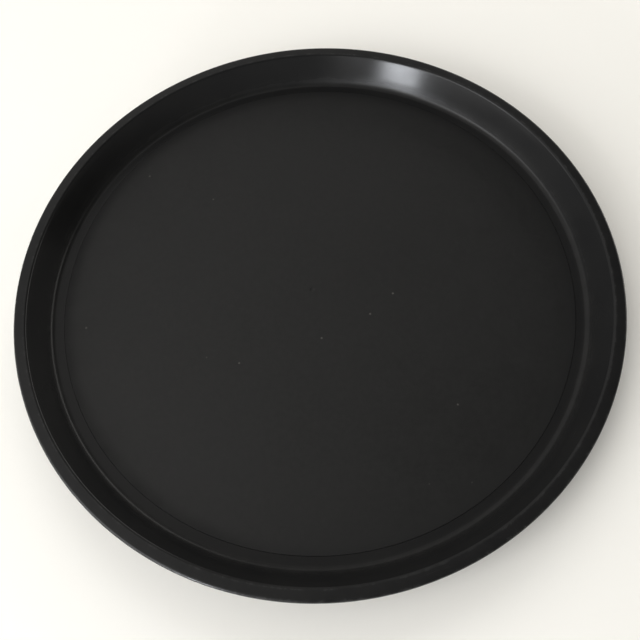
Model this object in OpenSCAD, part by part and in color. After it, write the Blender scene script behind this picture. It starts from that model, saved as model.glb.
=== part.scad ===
// Round non-slip serving tray: a moulded plastic shell with a rubber disc bonded into a recess in its floor.
// The origin is on the axis, at the plane that the foot ring stands on, and +Z points up.

/* [Size] */
// Overall diameter, over the turned-down rim
tray_d = 406; // [300:1:460]
// Depth of the well, from the rim's crest down to the rubber floor
well_depth = 20.9; // [16:0.1:30]

/* [Rim and wall] */
// Slope of the side wall, in degrees above the level
wall_slope = 64; // [55:1:75]
// Thickness of the side wall
wall_t = 2.2; // [1.8:0.1:3]
// Width of the rim flange, from the middle of its crest to the outer edge
flange_w = 7.1; // [6.5:0.1:12]
// Fall of the flange towards its outer edge, in degrees
flange_fall = 4; // [2:1:16]
// Radius of the crest, where the wall turns over into the flange
crest_r = 2; // [1:0.1:2.4]
// Radius of the flange's outer edge
edge_r = 2; // [0.8:0.1:2.2]
// Height of the turned-down rim, from its lower edge to the crest
skirt_h = 5.6; // [5:0.2:7]
// Thickness of the flange and of its turned-down edge
rim_t = 2; // [1.6:0.1:2.4]

/* [Floor and foot] */
// Thickness of the plastic floor under the rubber
floor_t = 1.8; // [1.6:0.1:3]
// Height of the foot ring that the tray stands on
foot_h = 1.6; // [0.8:0.1:2]
// Width of the foot ring's face
foot_w = 5; // [3:0.5:8]
// Distance from the rubber's edge in to the foot ring
foot_inset = 5.5; // [3:0.5:10]

/* [Border] */
// Width of the plain border between the rubber's edge and the foot of the wall
border_w = 7.8; // [6:0.1:12]
// Radius of the cove between the border and the wall
cove_r = 4; // [1:0.1:6]

/* [Rubber liner] */
// Thickness of the rubber
liner_t = 1.1; // [0.8:0.1:2]
// How far the rubber stands above the border around it
liner_proud = 0.3; // [0.1:0.1:0.6]
// Radius of the rubber's upper edge
liner_edge_r = 0.3; // [0.1:0.1:0.6]

/* [Stacking lugs] */
// Number of lugs under the rim
lug_count = 8; // [3:1:16]
// Thickness of one lug
lug_t = 3; // [2:0.5:5]
// Height that one stacked tray stands above the next
stack_pitch = 8; // [7:0.5:10]

/* [Hidden] */
$fn = 180;
ARC_STEPS = 8;

// Heights, from the ground up
floor_z = foot_h + floor_t;
liner_z = floor_z + liner_t;
tray_h = liner_z + well_depth;
skirt_z = tray_h - skirt_h;
lug_z = tray_h - stack_pitch;

// The crest is an arc tangent to the wall and to the flange. Its corner is where those two faces would meet.
outer_r = tray_d / 2;
half_turn = (wall_slope + flange_fall) / 2;
corner_at = 90 + (wall_slope - flange_fall) / 2;
corner_r = outer_r - flange_w + crest_r / cos(half_turn) * cos(corner_at);
corner_z = tray_h - crest_r + crest_r / cos(half_turn) * sin(corner_at);

// The wall's face: its radius at a height, and how thick it is when measured on the level
function wall_at(z) = corner_r - (corner_z - z) / tan(wall_slope);
wall_across = wall_t / sin(wall_slope);

// The flange's upper face and its underside, as heights at a radius
function flange_at(r) = corner_z - (r - corner_r) * tan(flange_fall);
function flange_under(r) = flange_at(r) - rim_t / cos(flange_fall);

// Where the wall's outer face meets the flange's underside
under_fall = tan(flange_fall);
under_rise = tan(wall_slope);
under_r = (flange_under(0) + under_rise * (corner_r + wall_across) - corner_z) / (under_rise + under_fall);

// The border: level, and a little lower than the rubber's face
border_z = liner_z - liner_proud;
wall_foot_r = wall_at(border_z);
liner_r = wall_foot_r - border_w;

// Foot ring
foot_out = liner_r - foot_inset;
foot_in = foot_out - foot_w;
foot_draft = foot_h / 2;

// Small moulded radii
heel_r = 6;
root_r = 0.4;
tip_r = 0.7;

// A corner [r, z, radius] between its neighbours, turned into points along an arc tangent to both sides
function unit(v) = v / norm(v);
function spot(q) = [q[0], q[1]];
function arc(q, before, after) =
    let (p = spot(q), u = unit(before - p), v = unit(after - p), half = acos(u * v) / 2)
    let (start = p + u * q[2] / tan(half), end = p + v * q[2] / tan(half))
    let (centre = p + unit(u + v) * q[2] / sin(half), arm = start - centre)
    let (swing = -sign(cross(u, v)) * (180 - 2 * half))
    concat(
        [start],
        [for (i = [1:ARC_STEPS - 1])
            let (a = swing * i / ARC_STEPS)
            centre + [arm[0] * cos(a) - arm[1] * sin(a), arm[0] * sin(a) + arm[1] * cos(a)]],
        [end]
    );
function rounded(path) = [for (i = [0:len(path) - 1])
    each path[i][2] == 0
        ? [spot(path[i])]
        : arc(path[i], spot(path[i - 1]), spot(path[i + 1]))];

// From the axis out under the foot, up the outside, over the rim, down the wall and in to the liner's seat
module shell_section() {
    polygon(rounded([
        [0, foot_h, 0],
        [foot_in - foot_draft, foot_h, root_r],
        [foot_in, 0, root_r],
        [foot_out, 0, root_r],
        [foot_out + foot_draft, foot_h, root_r],
        [wall_at(foot_h) + wall_across, foot_h, heel_r],
        [under_r, flange_under(under_r), tip_r],
        [outer_r - rim_t, flange_under(outer_r - rim_t), tip_r],
        [outer_r - rim_t, skirt_z, tip_r],
        [outer_r, skirt_z, tip_r],
        [outer_r, flange_at(outer_r), edge_r],
        [corner_r, corner_z, crest_r],
        [wall_foot_r, border_z, cove_r],
        [liner_r, border_z, 0],
        [liner_r, floor_z, 0],
        [0, floor_z, 0],
    ]));
}

// A flat disc with a rounded upper edge
module liner_section() {
    polygon(rounded([
        [0, floor_z, 0],
        [liner_r, floor_z, 0],
        [liner_r, liner_z, liner_edge_r],
        [0, liner_z, 0],
    ]));
}

// One lug: a rib in the corner between the wall and the flange, whose level foot stands on the crest of the next tray
module lug() {
    root = wall_across / 2;
    reach = outer_r - flange_w + crest_r;
    rotate([90, 0, 0])
        translate([0, 0, -lug_t / 2])
            linear_extrude(lug_t)
                polygon([
                    [wall_at(lug_z) + root, lug_z],
                    [reach, lug_z],
                    [reach, flange_under(reach) + rim_t / 2],
                    [corner_r + root, flange_under(corner_r + root) + rim_t / 2],
                ]);
}

module tray_shell() {
    color([0.09, 0.09, 0.095]) {
        rotate_extrude()
            shell_section();
        for (i = [0:lug_count - 1])
            rotate([0, 0, 360 * (i + 0.5) / lug_count])
                lug();
    }
}

module non_slip_liner() {
    color([0.16, 0.16, 0.15])
        rotate_extrude()
            liner_section();
}

tray_shell();
non_slip_liner();
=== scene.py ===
import math

import bpy
from mathutils import Matrix, Vector, noise


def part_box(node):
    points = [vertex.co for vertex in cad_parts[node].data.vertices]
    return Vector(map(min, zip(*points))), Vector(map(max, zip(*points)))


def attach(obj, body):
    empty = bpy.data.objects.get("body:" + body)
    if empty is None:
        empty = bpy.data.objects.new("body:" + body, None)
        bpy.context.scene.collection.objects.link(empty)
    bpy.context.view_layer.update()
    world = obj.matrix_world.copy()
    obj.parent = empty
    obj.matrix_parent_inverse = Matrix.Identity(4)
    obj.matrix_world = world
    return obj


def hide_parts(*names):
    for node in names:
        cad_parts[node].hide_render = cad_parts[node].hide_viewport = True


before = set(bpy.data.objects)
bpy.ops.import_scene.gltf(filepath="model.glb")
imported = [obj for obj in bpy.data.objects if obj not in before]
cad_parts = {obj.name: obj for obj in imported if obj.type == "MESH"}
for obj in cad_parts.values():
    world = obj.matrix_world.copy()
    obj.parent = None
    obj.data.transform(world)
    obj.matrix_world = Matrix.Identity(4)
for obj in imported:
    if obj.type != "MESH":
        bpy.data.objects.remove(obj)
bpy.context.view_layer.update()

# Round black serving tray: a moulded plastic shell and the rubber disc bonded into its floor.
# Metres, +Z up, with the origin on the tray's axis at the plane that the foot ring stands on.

MM = 0.001

# ---- Sizes that the frame holds ----

shell_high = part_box("tray_shell")[1]
liner_low, liner_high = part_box("non_slip_liner")
OUTER_R = shell_high.x
TRAY_H = shell_high.z
LINER_R = liner_high.x
LINER_Z = liner_high.z
SEAT_Z = liner_low.z

# ---- The shell's profile, as named sizes ----

WALL_SLOPE = math.radians(64)     # above the level
WALL_T = 2.2 * MM
FLANGE_W = 7.1 * MM               # from the middle of the crest to the outer edge
FLANGE_FALL = math.radians(4)     # below the level
RIM_T = 2 * MM
CREST_R = 2 * MM
EDGE_R = 2 * MM
SKIRT_H = 5.6 * MM                # the turned-down edge, from its lower end to the crest
FLOOR_T = 1.8 * MM
FOOT_W = 5 * MM
FOOT_INSET = 5.5 * MM             # from the rubber's edge in to the foot ring
BORDER_W = 7.8 * MM
COVE_R = 4 * MM
HEEL_R = 6 * MM
ROOT_R = 0.4 * MM
TIP_R = 0.7 * MM
LINER_PROUD = 0.3 * MM            # the rubber's face above the border
LINER_EDGE_R = 0.3 * MM
LINER_GAP = 0.05 * MM             # between the rubber and the side of its seat

WALL_ACROSS = WALL_T / math.sin(WALL_SLOPE)     # the wall's thickness, measured on the level
UNDER_Z = SEAT_Z - FLOOR_T                      # the underside of the floor

# ---- What the mould leaves on the shell ----

LUG_COUNT = 8
LUG_T = 3 * MM
STACK_PITCH = 8 * MM
LUG_TOP_DROP = 1.4 * RIM_T        # from the crest to a lug's top, which ends just short of the flange
EJECTOR_RINGS = ((62 * MM, 4), (134 * MM, 8))     # the radius of each ring of pins, and how many it has
EJECTOR_R = 4 * MM
EJECTOR_DEPTH = 0.18 * MM
GATE_R = 2.2 * MM
GATE_H = 0.6 * MM
OVERRUN = 0.5 * MM                # how far a mark's solid runs past the face that it works on
SLOW_WAVE = 0.045 * MM
QUICK_WAVE = 0.012 * MM
WAVE_FADE = 3 * MM                # the waves grow from nothing over this width at the rubber's edge

# ---- The rubber's face ----

PIP = Vector((-3, 0.4)) * MM      # middle of the moulded pip near the rubber's centre
PIP_R = 1.7 * MM
PIP_DEPTH = 0.22 * MM
LINER_WAVE = 0.05 * MM
STILL_H = 0.3 * MM                # the lowest part of the rubber, which the waves leave alone
MIDDLE_R = 6 * MM                 # the middle of the rubber, with finer faces for the pip

# ---- Faces ----

TURNS = 480                       # faces round the tray
ARC_STEPS = 12                    # faces along one rounded corner
MARK_STEPS = 48                   # faces round a pin or gate mark
LONGEST_FACE = 4 * MM             # along an outline
FINE_FACE = 0.4 * MM              # along the outline in the middle of the rubber
CRISP_ANGLE = math.radians(35)    # edges sharper than this stay crisp

# ---- Stage, in metres and degrees ----

FLOOR_HALF = 12.0
LIGHT_DISTANCE = 2.0
CAMERA_PLACE = (0, -0.2149, 0.43625)
CAMERA_TURNS = ((27.58, "X"), (-5.98, "Z"), (-3.614, "X"), (-0.401, "Y"))     # one after another
WINDOW_AZIMUTH = 63.7             # where on the wall the window is reflected
WINDOW_HEIGHT = 14 * MM
BRIGHT_SIDE = 150                 # the azimuth that the sky is brightest towards
DIM_SIDE_LEVEL = 0.10             # the sky's strength on the other side, high up
SKY = ((0.0, 0.44), (0.42, 0.66), (0.75, 0.62), (0.92, 1.20))     # height of a direction, and brightness


# ---- Outlines: corners [r, z, radius], with each corner turned into an arc ----

def rounded(path):
    """The points of a path of corners (r, z, radius), where a radius makes an arc tangent to both sides."""
    points = []
    for i, (r, z, radius) in enumerate(path):
        corner = Vector((r, z))
        if radius == 0:
            points.append(corner)
            continue
        to_last = (Vector(path[i - 1][:2]) - corner).normalized()
        to_next = (Vector(path[i + 1][:2]) - corner).normalized()
        half = to_last.angle(to_next) / 2
        start = corner + to_last * radius / math.tan(half)
        centre = corner + (to_last + to_next).normalized() * radius / math.sin(half)
        swing = math.copysign(math.pi - 2 * half, to_next.cross(to_last))
        for k in range(ARC_STEPS + 1):
            turn = Matrix.Rotation(swing * k / ARC_STEPS, 2)
            points.append(centre + turn @ (start - centre))
    return points


def filled(points, gap):
    """The same outline with points added, so that no straight stretch is longer than gap."""
    out = [points[0]]
    for p, q in zip(points, points[1:]):
        n = max(1, math.ceil((q - p).length / gap))
        out += [p.lerp(q, k / n) for k in range(1, n + 1)]
    return out


def crest_corner():
    """The corner (r, z) where the faces of wall and flange would meet, if the crest's arc didn't round it."""
    half_turn = (WALL_SLOPE + FLANGE_FALL) / 2
    corner_at = math.pi / 2 + (WALL_SLOPE - FLANGE_FALL) / 2
    middle = Vector((OUTER_R - FLANGE_W, TRAY_H - CREST_R))
    return middle + CREST_R / math.cos(half_turn) * Vector((math.cos(corner_at), math.sin(corner_at)))


def wall_at(z):
    """The radius of the wall's inner face at a height."""
    crest = crest_corner()
    return crest.x - (crest.y - z) / math.tan(WALL_SLOPE)


def flange_at(r):
    """The height of the flange's upper face at a radius."""
    crest = crest_corner()
    return crest.y - (r - crest.x) * math.tan(FLANGE_FALL)


def shell_corners():
    """From the axis out under the foot, up the outside, over the rim and down to the liner's seat."""
    crest = crest_corner()
    under = RIM_T / math.cos(FLANGE_FALL)
    rise, fall = math.tan(WALL_SLOPE), math.tan(FLANGE_FALL)
    under_r = (flange_at(0) - under + rise * (crest.x + WALL_ACROSS) - crest.y) / (rise + fall)
    skirt_z = TRAY_H - SKIRT_H
    skirt_r = OUTER_R - RIM_T
    border_z = LINER_Z - LINER_PROUD
    root_r = wall_at(border_z)
    seat_r = root_r - BORDER_W
    foot_out = seat_r - FOOT_INSET
    foot_in = foot_out - FOOT_W
    draft = UNDER_Z / 2
    return [
        (0, UNDER_Z, 0),
        (foot_in - draft, UNDER_Z, ROOT_R),
        (foot_in, 0, ROOT_R),
        (foot_out, 0, ROOT_R),
        (foot_out + draft, UNDER_Z, ROOT_R),
        (wall_at(UNDER_Z) + WALL_ACROSS, UNDER_Z, HEEL_R),
        (under_r, flange_at(under_r) - under, TIP_R),
        (skirt_r, flange_at(skirt_r) - under, TIP_R),
        (skirt_r, skirt_z, TIP_R),
        (OUTER_R, skirt_z, TIP_R),
        (OUTER_R, flange_at(OUTER_R), EDGE_R),
        (crest.x, crest.y, CREST_R),
        (root_r, border_z, COVE_R),
        (seat_r, border_z, 0),
        (seat_r, SEAT_Z, 0),
        (0, SEAT_Z, 0),
    ]


def liner_corners():
    """A flat disc with a rounded upper edge, a hair smaller than the seat that it lies in."""
    edge = LINER_R - LINER_GAP
    return [(0, SEAT_Z, 0), (edge, SEAT_Z, 0), (edge, LINER_Z, LINER_EDGE_R), (0, LINER_Z, 0)]


# ---- Meshes ----

def linked(name, points, faces):
    """A new object in the scene, from points and faces."""
    mesh = bpy.data.meshes.new(name)
    mesh.from_pydata(points, [], faces)
    mesh.validate()
    piece = bpy.data.objects.new(name, mesh)
    bpy.context.scene.collection.objects.link(piece)
    return piece


def revolved(name, outline):
    """A closed solid turned round the axis. The outline starts and ends on the axis."""
    rings = outline[1:-1]
    spin = [(math.cos(2 * math.pi * k / TURNS), math.sin(2 * math.pi * k / TURNS)) for k in range(TURNS)]
    points = [(p.x * c, p.x * s, p.y) for p in rings for c, s in spin]
    low, high = len(points), len(points) + 1
    points += [(0, 0, outline[0].y), (0, 0, outline[-1].y)]
    faces = []
    for i in range(len(rings) - 1):
        for k in range(TURNS):
            j = (k + 1) % TURNS
            a, b = i * TURNS, (i + 1) * TURNS
            faces.append((a + k, a + j, b + j, b + k))
    last = (len(rings) - 1) * TURNS
    for k in range(TURNS):
        j = (k + 1) % TURNS
        faces.append((low, j, k))
        faces.append((last + k, last + j, high))
    return linked(name, points, faces)


def discs(name, spots, radius, low, high):
    """Short upright cylinders at those spots on the floor plan, as one mesh."""
    points, faces = [], []
    for x, y in spots:
        first = len(points)
        for z in (low, high):
            for k in range(MARK_STEPS):
                a = 2 * math.pi * k / MARK_STEPS
                points.append((x + radius * math.cos(a), y + radius * math.sin(a), z))
        top = first + MARK_STEPS
        for k in range(MARK_STEPS):
            j = (k + 1) % MARK_STEPS
            faces.append((first + k, first + j, top + j, top + k))
        faces.append(tuple(first + k for k in reversed(range(MARK_STEPS))))
        faces.append(tuple(top + k for k in range(MARK_STEPS)))
    return linked(name, points, faces)


def carved(piece, tool, operation):
    """The piece with a tool's solid added or cut away. The tool is used up."""
    change = piece.modifiers.new(operation.lower(), "BOOLEAN")
    change.operation = operation
    change.solver = "EXACT"
    change.object = tool
    graph = bpy.context.evaluated_depsgraph_get()
    mesh = bpy.data.meshes.new_from_object(piece.evaluated_get(graph))
    piece.modifiers.clear()
    old, piece.data = piece.data, mesh
    mesh.name = old.name + "_solid"
    bpy.data.meshes.remove(old)
    bpy.data.meshes.remove(tool.data)


def sunk(piece, depth_at):
    """Each point moved into the solid by the depth that depth_at gives for it, so nothing grows outward."""
    mesh = piece.data
    normals = [v.normal.copy() for v in mesh.vertices]
    for v, normal in zip(mesh.vertices, normals):
        v.co -= normal * depth_at(v.co)
    mesh.update()


def smooth(piece):
    """Smooth shading, apart from the crisp edges."""
    for face in piece.data.polygons:
        face.use_smooth = True
    piece.data.set_sharp_from_angle(angle=CRISP_ANGLE)


# ---- The shell moulding ----

def shell_waves(spot):
    """The unevenness of a thin moulding: about a tenth of a millimetre at most on wall, rim and border."""
    beyond = (math.hypot(spot.x, spot.y) - LINER_R) / WAVE_FADE
    if beyond < 0 or spot.z < SEAT_Z:
        return 0
    slow = noise.noise(spot * 16)
    quick = noise.noise(spot * 47 + Vector((5, 9, 2)))
    return min(1, beyond) * (SLOW_WAVE * (1 + slow) + QUICK_WAVE * (1 + quick))


def make_lugs():
    """Ribs on the outside of the wall, under the rim. Their feet would stand on the next tray's crest."""
    foot_z = TRAY_H - STACK_PITCH
    top = TRAY_H - LUG_TOP_DROP
    root = WALL_ACROSS / 2
    reach = OUTER_R - FLANGE_W + CREST_R
    profile = [
        (wall_at(foot_z) + root, foot_z),
        (reach, foot_z),
        (reach, top),
        (wall_at(top) + root, top),
    ]
    points, faces = [], []
    for k in range(LUG_COUNT):
        a = 2 * math.pi * (k + 0.5) / LUG_COUNT
        out, side = Vector((math.cos(a), math.sin(a), 0)), Vector((-math.sin(a), math.cos(a), 0))
        first = len(points)
        for across in (-LUG_T / 2, LUG_T / 2):
            points += [out * r + side * across + Vector((0, 0, z)) for r, z in profile]
        faces += [tuple(first + i for i in (0, 1, 2, 3)), tuple(first + i for i in (7, 6, 5, 4))]
        for i in range(4):
            j = (i + 1) % 4
            faces.append((first + j, first + i, first + 4 + i, first + 4 + j))
    return linked("lugs", points, faces)


def ejector_marks():
    """Round dents that the mould's ejector pins leave in the underside of the floor."""
    spots = []
    for radius, count in EJECTOR_RINGS:
        for k in range(count):
            a = 2 * math.pi * (k + 0.25) / count
            spots.append((radius * math.cos(a), radius * math.sin(a)))
    return discs("ejector_pins", spots, EJECTOR_R, UNDER_Z - OVERRUN, UNDER_Z + EJECTOR_DEPTH)


def gate_mark():
    """The stub left where the plastic entered the mould, under the middle of the floor."""
    return discs("gate_stub", [(0, 0)], GATE_R, UNDER_Z - GATE_H, UNDER_Z + OVERRUN)


def make_shell():
    """The whole moulding: the turned profile with its waves, lugs and mould marks."""
    piece = revolved("shell_moulding", filled(rounded(shell_corners()), LONGEST_FACE))
    sunk(piece, shell_waves)
    carved(piece, make_lugs(), "UNION")
    carved(piece, ejector_marks(), "DIFFERENCE")
    carved(piece, gate_mark(), "UNION")
    smooth(piece)
    return piece


# ---- The rubber liner ----

def liner_waves(spot):
    """A bonded sheet's slow unevenness, and the shallow moulded pip near its centre."""
    if spot.z < SEAT_Z + STILL_H:
        return 0
    slow = LINER_WAVE * (1 + noise.noise(Vector((spot.x, spot.y, 0)) * 12))
    away = (Vector((spot.x, spot.y)) - PIP).length / PIP_R
    dip = PIP_DEPTH * max(0, 1 - away * away)
    return slow + dip


def make_liner():
    """The rubber disc, with finer faces in the middle of its upper side."""
    outline = filled(rounded(liner_corners()), LONGEST_FACE)
    fine = filled([Vector((MIDDLE_R, LINER_Z)), Vector((0, LINER_Z))], FINE_FACE)
    outline = [p for p in outline if p.x > MIDDLE_R or p.y < LINER_Z] + fine
    piece = revolved("rubber_liner", outline)
    sunk(piece, liner_waves)
    smooth(piece)
    return piece


# ---- Materials ----

class Nodes:
    """A new node material, with short ways to add the few kinds of node that are used here."""

    def __init__(self, name):
        self.material = bpy.data.materials.new(name)
        self.material.use_nodes = True
        self.tree = self.material.node_tree
        self.shader = self.tree.nodes["Principled BSDF"]
        self.place = self.add("ShaderNodeTexCoord").outputs["Object"]

    def add(self, kind, **settings):
        """A new node of that kind, with its settings."""
        node = self.tree.nodes.new(kind)
        for key, value in settings.items():
            setattr(node, key, value)
        return node

    def feed(self, socket, value):
        """Link a socket to another node's output, or set it to a constant."""
        if isinstance(value, bpy.types.NodeSocket):
            self.tree.links.new(value, socket)
        else:
            socket.default_value = value

    def noise(self, scale, detail=2, roughness=0.5, vector=None):
        """Smooth noise, by place on the object unless a vector is given."""
        node = self.add("ShaderNodeTexNoise")
        self.feed(node.inputs["Vector"], vector or self.place)
        self.feed(node.inputs["Scale"], scale)
        self.feed(node.inputs["Detail"], detail)
        self.feed(node.inputs["Roughness"], roughness)
        return node.outputs[0]

    def cells(self, scale, output="Distance"):
        """A cell texture: by default the distance to the nearest cell's point."""
        node = self.add("ShaderNodeTexVoronoi")
        self.feed(node.inputs["Vector"], self.place)
        self.feed(node.inputs["Scale"], scale)
        return node.outputs[output]

    def cell_values(self, scale):
        """A different value for each cell of the cells texture."""
        split = self.add("ShaderNodeSeparateColor")
        self.feed(split.inputs[0], self.cells(scale, "Color"))
        return split.outputs[0]

    def math(self, operation, *values):
        """One sum, product or comparison of values."""
        node = self.add("ShaderNodeMath", operation=operation)
        for socket, value in zip(node.inputs, values):
            self.feed(socket, value)
        return node.outputs[0]

    def vector_math(self, operation, *values):
        """One operation on vectors. A length or a dot product is a number, and the rest are vectors."""
        node = self.add("ShaderNodeVectorMath", operation=operation)
        for socket, value in zip(node.inputs, values):
            self.feed(socket, value)
        return node.outputs["Value" if operation in ("LENGTH", "DOT_PRODUCT") else "Vector"]

    def remap(self, value, low, high, to_low=0, to_high=1):
        """A value between low and high, brought to between to_low and to_high and held there."""
        node = self.add("ShaderNodeMapRange")
        names = ("Value", "From Min", "From Max", "To Min", "To Max")
        for key, x in zip(names, (value, low, high, to_low, to_high)):
            self.feed(node.inputs[key], x)
        return node.outputs[0]

    def ramp(self, value, stops):
        """A colour for each value between 0 and 1. Stops are (position, grey or colour)."""
        node = self.add("ShaderNodeValToRGB")
        self.feed(node.inputs[0], value)
        points = node.color_ramp.elements
        while len(points) < len(stops):
            points.new(0.5)
        for point, (position, colour) in zip(points, stops):
            point.position = position
            point.color = (*colour, 1) if isinstance(colour, tuple) else (colour, colour, colour, 1)
        return node.outputs[0]

    def blend(self, factor, a, b):
        """Colour a where the factor is 0, and colour b where it is 1."""
        node = self.add("ShaderNodeMix", data_type="RGBA")
        self.feed(node.inputs[0], factor)
        self.feed(node.inputs[6], a)
        self.feed(node.inputs[7], b)
        return node.outputs[2]

    def relief(self, height, distance, strength=1, after=None):
        """A normal bent by a height texture, on top of an earlier relief if there is one."""
        node = self.add("ShaderNodeBump")
        self.feed(node.inputs["Height"], height)
        self.feed(node.inputs["Distance"], distance)
        self.feed(node.inputs["Strength"], strength)
        if after is not None:
            self.feed(node.inputs["Normal"], after)
        return node.outputs["Normal"]

    def finish(self, **inputs):
        """The material, once the shader's inputs are fed: base_color feeds Base Color, and so on."""
        for key, value in inputs.items():
            self.feed(self.shader.inputs[key.replace("_", " ").title().replace("Ior", "IOR")], value)
        return self.material


DUST = (0.020, 0.0195, 0.0185, 1)
WORN = (0.022, 0.022, 0.0215, 1)
RING_SCALE = 1300       # noise units for each metre of radius and height together
RING_TURN = 5           # noise units for each radian round the axis: more makes shorter scratches


def ring_noise(n, flat, radius, height):
    """Noise drawn out into rings round the axis. Across the rings it goes by radius and height together."""
    around = n.vector_math("SCALE", n.vector_math("NORMALIZE", flat))
    around.node.inputs["Scale"].default_value = RING_TURN
    across = n.add("ShaderNodeCombineXYZ")
    n.feed(across.inputs["Z"], n.math("MULTIPLY", n.math("ADD", radius, height), RING_SCALE))
    return n.noise(1, 3, 0.6, n.vector_math("ADD", around, across.outputs[0]))


def shell_material():
    """Black moulded plastic: glossy, finely scratched, with a paler worn rim and dust in its corner."""
    n = Nodes("black_moulded_plastic")
    flat = n.vector_math("MULTIPLY", n.place, (1, 1, 0))
    radius = n.vector_math("LENGTH", flat)
    split = n.add("ShaderNodeSeparateXYZ")
    n.feed(split.inputs[0], n.place)
    height = split.outputs["Z"]
    rings = ring_noise(n, flat, radius, height)

    # The plastic's own tone, with fine specks of dust
    tones = [(0.3, (0.0086, 0.0086, 0.0088)), (0.7, (0.0112, 0.0112, 0.0110))]
    tone = n.ramp(n.noise(22, 5, 0.6), tones)
    specks = n.remap(n.noise(1300, 2, 0.7), 0.62, 0.78)
    colour = n.blend(n.math("MULTIPLY", specks, 0.5), tone, DUST)

    # Wear on the crest and on the outer edge
    where = n.remap(radius, OUTER_R - 13 * MM, OUTER_R)
    edges = n.ramp(where, [(0.36, 0.0), (0.455, 0.9), (0.53, 0.12), (0.82, 0.12), (0.95, 1.0)])
    raised = n.remap(height, TRAY_H - 3 * MM, TRAY_H - 1.6 * MM)
    patchy = n.remap(n.noise(170, 4, 0.65), 0.42, 0.72)
    wear = n.math("MULTIPLY", n.math("MULTIPLY", edges, raised), patchy)
    colour = n.blend(wear, colour, WORN)

    # Dust settled in the corner at the foot of the wall
    near_foot = n.remap(radius, LINER_R, LINER_R + 16 * MM)
    corner = n.ramp(near_foot, [(0.25, 0.0), (0.40, 1.0), (0.55, 1.0), (0.75, 0.0)])
    settled = n.math("MULTIPLY", corner, n.remap(n.noise(120, 3, 0.6), 0.35, 0.70, 0.05, 0.35))
    colour = n.blend(settled, colour, DUST)

    # Gloss, duller where it is scratched, worn or dusty
    scratches = n.remap(rings, 0.60, 0.74)
    rough = n.remap(n.noise(30, 4, 0.6), 0.3, 0.7, 0.15, 0.22)
    rough = n.math("ADD", rough, n.math("MULTIPLY", scratches, 0.10))
    rough = n.math("ADD", rough, n.math("MULTIPLY", wear, 0.25))
    rough = n.math("ADD", rough, n.math("MULTIPLY", corner, 0.12))

    peel = n.relief(n.noise(420, 2, 0.5), 0.006 * MM)
    grain = n.relief(rings, 0.004 * MM, 1, peel)
    return n.finish(base_color=colour, roughness=rough, ior=1.46, specular_ior_level=0.23, normal=grain)


def rubber_material():
    """Black rubber: matt and finely grained, darker and duller towards its edge, with a few pale specks."""
    n = Nodes("black_rubber")

    # Mottled tone, and a pale speck in about one cell out of 220
    tones = [(0.3, (0.0012, 0.0013, 0.0012)), (0.7, (0.0022, 0.0022, 0.0021))]
    tone = n.ramp(n.noise(14, 5, 0.6), tones)
    mottle = n.remap(n.noise(260, 4, 0.7), 0.38, 0.66, 0.0, 0.9)
    colour = n.blend(mottle, tone, (0.0040, 0.0040, 0.0038, 1))
    rare = n.math("GREATER_THAN", n.cell_values(230), 0.9955)
    speck = n.math("MULTIPLY", rare, n.remap(n.cells(230), 0.22, 0.12))
    colour = n.blend(speck, colour, (0.045, 0.043, 0.039, 1))

    # Roughness in wide clouds and small ones
    rough = n.remap(n.noise(9, 4, 0.6), 0.3, 0.7, 0.40, 0.50)
    rough = n.math("ADD", rough, n.remap(n.noise(75, 3, 0.6), 0.35, 0.65, -0.02, 0.03))

    # The margin
    radius = n.vector_math("LENGTH", n.vector_math("MULTIPLY", n.place, (1, 1, 0)))
    margin = n.remap(radius, LINER_R - 9 * MM, LINER_R - 2 * MM)
    colour = n.blend(margin, colour, (0.0010, 0.0010, 0.0010, 1))
    rough = n.math("MULTIPLY", rough, n.remap(margin, 0, 1, 1, 1.3))

    grain = n.relief(n.noise(1500, 3, 0.6), 0.02 * MM, 0.5)
    pores = n.relief(n.cells(2100), 0.01 * MM, 0.4, grain)
    return n.finish(base_color=colour, roughness=rough, ior=1.52, specular_ior_level=0.42, normal=pores)


def floor_material():
    """A pale, matt, very slightly uneven studio floor."""
    n = Nodes("pale_floor")
    tones = [(0.3, (0.910, 0.892, 0.838)), (0.7, (0.930, 0.912, 0.860))]
    colour = n.ramp(n.noise(2.5, 4, 0.5), tones)
    fibre = n.relief(n.noise(900, 3, 0.6), 0.05 * MM, 0.5)
    return n.finish(base_color=colour, roughness=0.7, normal=fibre)


# ---- The tray ----

shell = make_shell()
shell.data.materials.append(shell_material())
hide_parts("tray_shell")
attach(shell, "root")

liner = make_liner()
liner.data.materials.append(rubber_material())
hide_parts("non_slip_liner")
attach(liner, "root")


# ---- Floor, camera and light ----

def make_floor():
    """A flat floor that reaches far past the lights."""
    h = FLOOR_HALF
    floor = linked("studio_floor", [(-h, -h, 0), (h, -h, 0), (h, h, 0), (-h, h, 0)], [(0, 1, 2, 3)])
    floor.data.materials.append(floor_material())


def make_camera():
    """The camera, near the tray and looking down into it."""
    data = bpy.data.cameras.new("camera")
    data.lens = 38.90
    data.sensor_width = 36
    data.clip_start = 0.01
    camera = bpy.data.objects.new("camera", data)
    bpy.context.scene.collection.objects.link(camera)
    turn = Matrix.Identity(4)
    for degrees, axis in CAMERA_TURNS:
        turn = turn @ Matrix.Rotation(math.radians(degrees), 4, axis)
    camera.matrix_world = Matrix.Translation(CAMERA_PLACE) @ turn
    bpy.context.scene.camera = camera
    return camera


def direction(azimuth, elevation):
    """The unit vector towards an azimuth and an elevation in degrees. Azimuth 0 is +X, and 90 is +Y."""
    a, e = math.radians(azimuth), math.radians(elevation)
    return Vector((math.cos(a) * math.cos(e), math.sin(a) * math.cos(e), math.sin(e)))


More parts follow.
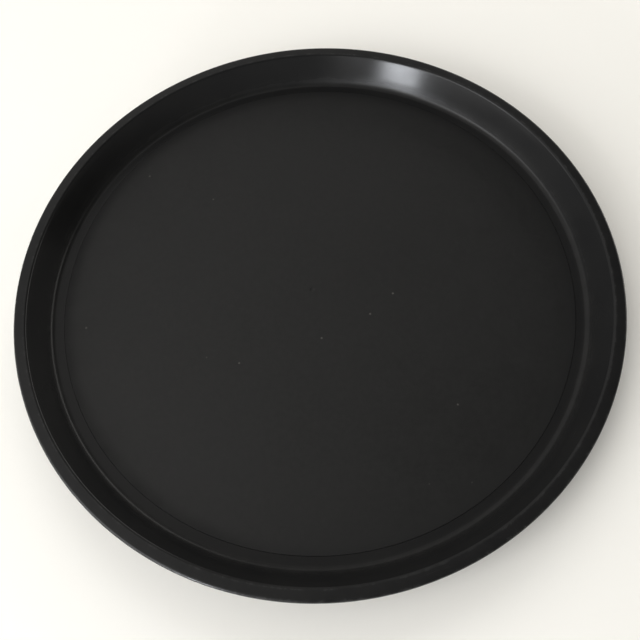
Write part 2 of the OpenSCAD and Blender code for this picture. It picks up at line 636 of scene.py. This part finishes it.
def softbox(name, towards, span, rise, radiance, colour=(1, 1, 1), mirrored=True):
    """An even light that faces the tray. Its span and rise are in degrees, as seen from the tray.

    A light that isn't mirrored still fills the shadows, and doesn't show in reflections.
    """
    width = 2 * LIGHT_DISTANCE * math.tan(math.radians(span / 2))
    height = 2 * LIGHT_DISTANCE * math.tan(math.radians(rise / 2))
    data = bpy.data.lights.new(name, "AREA")
    data.shape = "RECTANGLE"
    data.size, data.size_y = width, height
    data.color = colour
    data.energy = radiance * math.pi * width * height
    light = bpy.data.objects.new(name, data)
    bpy.context.scene.collection.objects.link(light)
    light.location = towards * LIGHT_DISTANCE
    light.rotation_euler = towards.to_track_quat("Z", "Y").to_euler()
    light.visible_camera = False
    light.visible_glossy = mirrored


def mirrored_from_wall(camera, azimuth, height):
    """The direction that the camera sees reflected in the wall, at an azimuth and a height."""
    a = math.radians(azimuth)
    # The wall's slope carried down from the middle of the crest: about a millimetre outside its face
    r = OUTER_R - FLANGE_W - (TRAY_H - height) / math.tan(WALL_SLOPE)
    spot = Vector((math.cos(a) * r, math.sin(a) * r, height))
    normal = -direction(azimuth, 0) * math.sin(WALL_SLOPE) + Vector((0, 0, math.cos(WALL_SLOPE)))
    sight = (spot - camera.matrix_world.translation).normalized()
    return sight.reflect(normal)


def make_world():
    """Soft light from all round: even at the horizon, and brighter on one side higher up."""
    world = bpy.data.worlds.new("studio_world")
    world.use_nodes = True
    bpy.context.scene.world = world
    tree = world.node_tree
    back = tree.nodes["Background"]
    towards = tree.nodes.new("ShaderNodeTexCoord").outputs["Generated"]
    split = tree.nodes.new("ShaderNodeSeparateXYZ")
    tree.links.new(towards, split.inputs[0])

    # Colour by height, slightly warm
    rise = tree.nodes.new("ShaderNodeValToRGB")
    tree.links.new(split.outputs["Z"], rise.inputs[0])
    points = rise.color_ramp.elements
    points.new(0.4)
    points.new(0.7)
    for point, (position, grey) in zip(points, SKY):
        point.position = position
        point.color = (grey, 0.98 * grey, 0.95 * grey, 1)

    # Strength by side, from the least at this height up to 1
    side = tree.nodes.new("ShaderNodeVectorMath")
    side.operation = "DOT_PRODUCT"
    tree.links.new(towards, side.inputs[0])
    side.inputs[1].default_value = direction(BRIGHT_SIDE, 0)
    strength = tree.nodes.new("ShaderNodeMapRange")
    tree.links.new(side.outputs["Value"], strength.inputs["Value"])
    strength.inputs["From Min"].default_value = -0.25
    strength.inputs["From Max"].default_value = 0.6
    least = tree.nodes.new("ShaderNodeMapRange")
    tree.links.new(split.outputs["Z"], least.inputs["Value"])
    least.inputs["From Max"].default_value = 0.5
    least.inputs["To Min"].default_value = 1.0
    least.inputs["To Max"].default_value = DIM_SIDE_LEVEL
    tree.links.new(least.outputs[0], strength.inputs["To Min"])
    tree.links.new(rise.outputs[0], back.inputs["Color"])
    tree.links.new(strength.outputs[0], back.inputs["Strength"])


make_floor()
camera = make_camera()
make_world()
window = mirrored_from_wall(camera, WINDOW_AZIMUTH, WINDOW_HEIGHT)
softbox("main_light", direction(212, 25), 36, 26, 3.6, (0.98, 0.99, 1.0))
softbox("wide_left", direction(213, 25), 84, 22, 2.25)
softbox("upper_left", direction(214, 48), 40, 22, 2.0)
softbox("low_left", direction(208, 7), 95, 13, 1.0)
softbox("far_fill", direction(88, 38), 50, 30, 2.4, mirrored=False)
softbox("low_right", direction(42, 13), 66, 24, 2.3, (1.0, 0.98, 0.94))
softbox("window_light", window, 10, 14, 50.0, (0.92, 0.95, 1.0))

bpy.context.scene.view_settings.view_transform = "Standard"
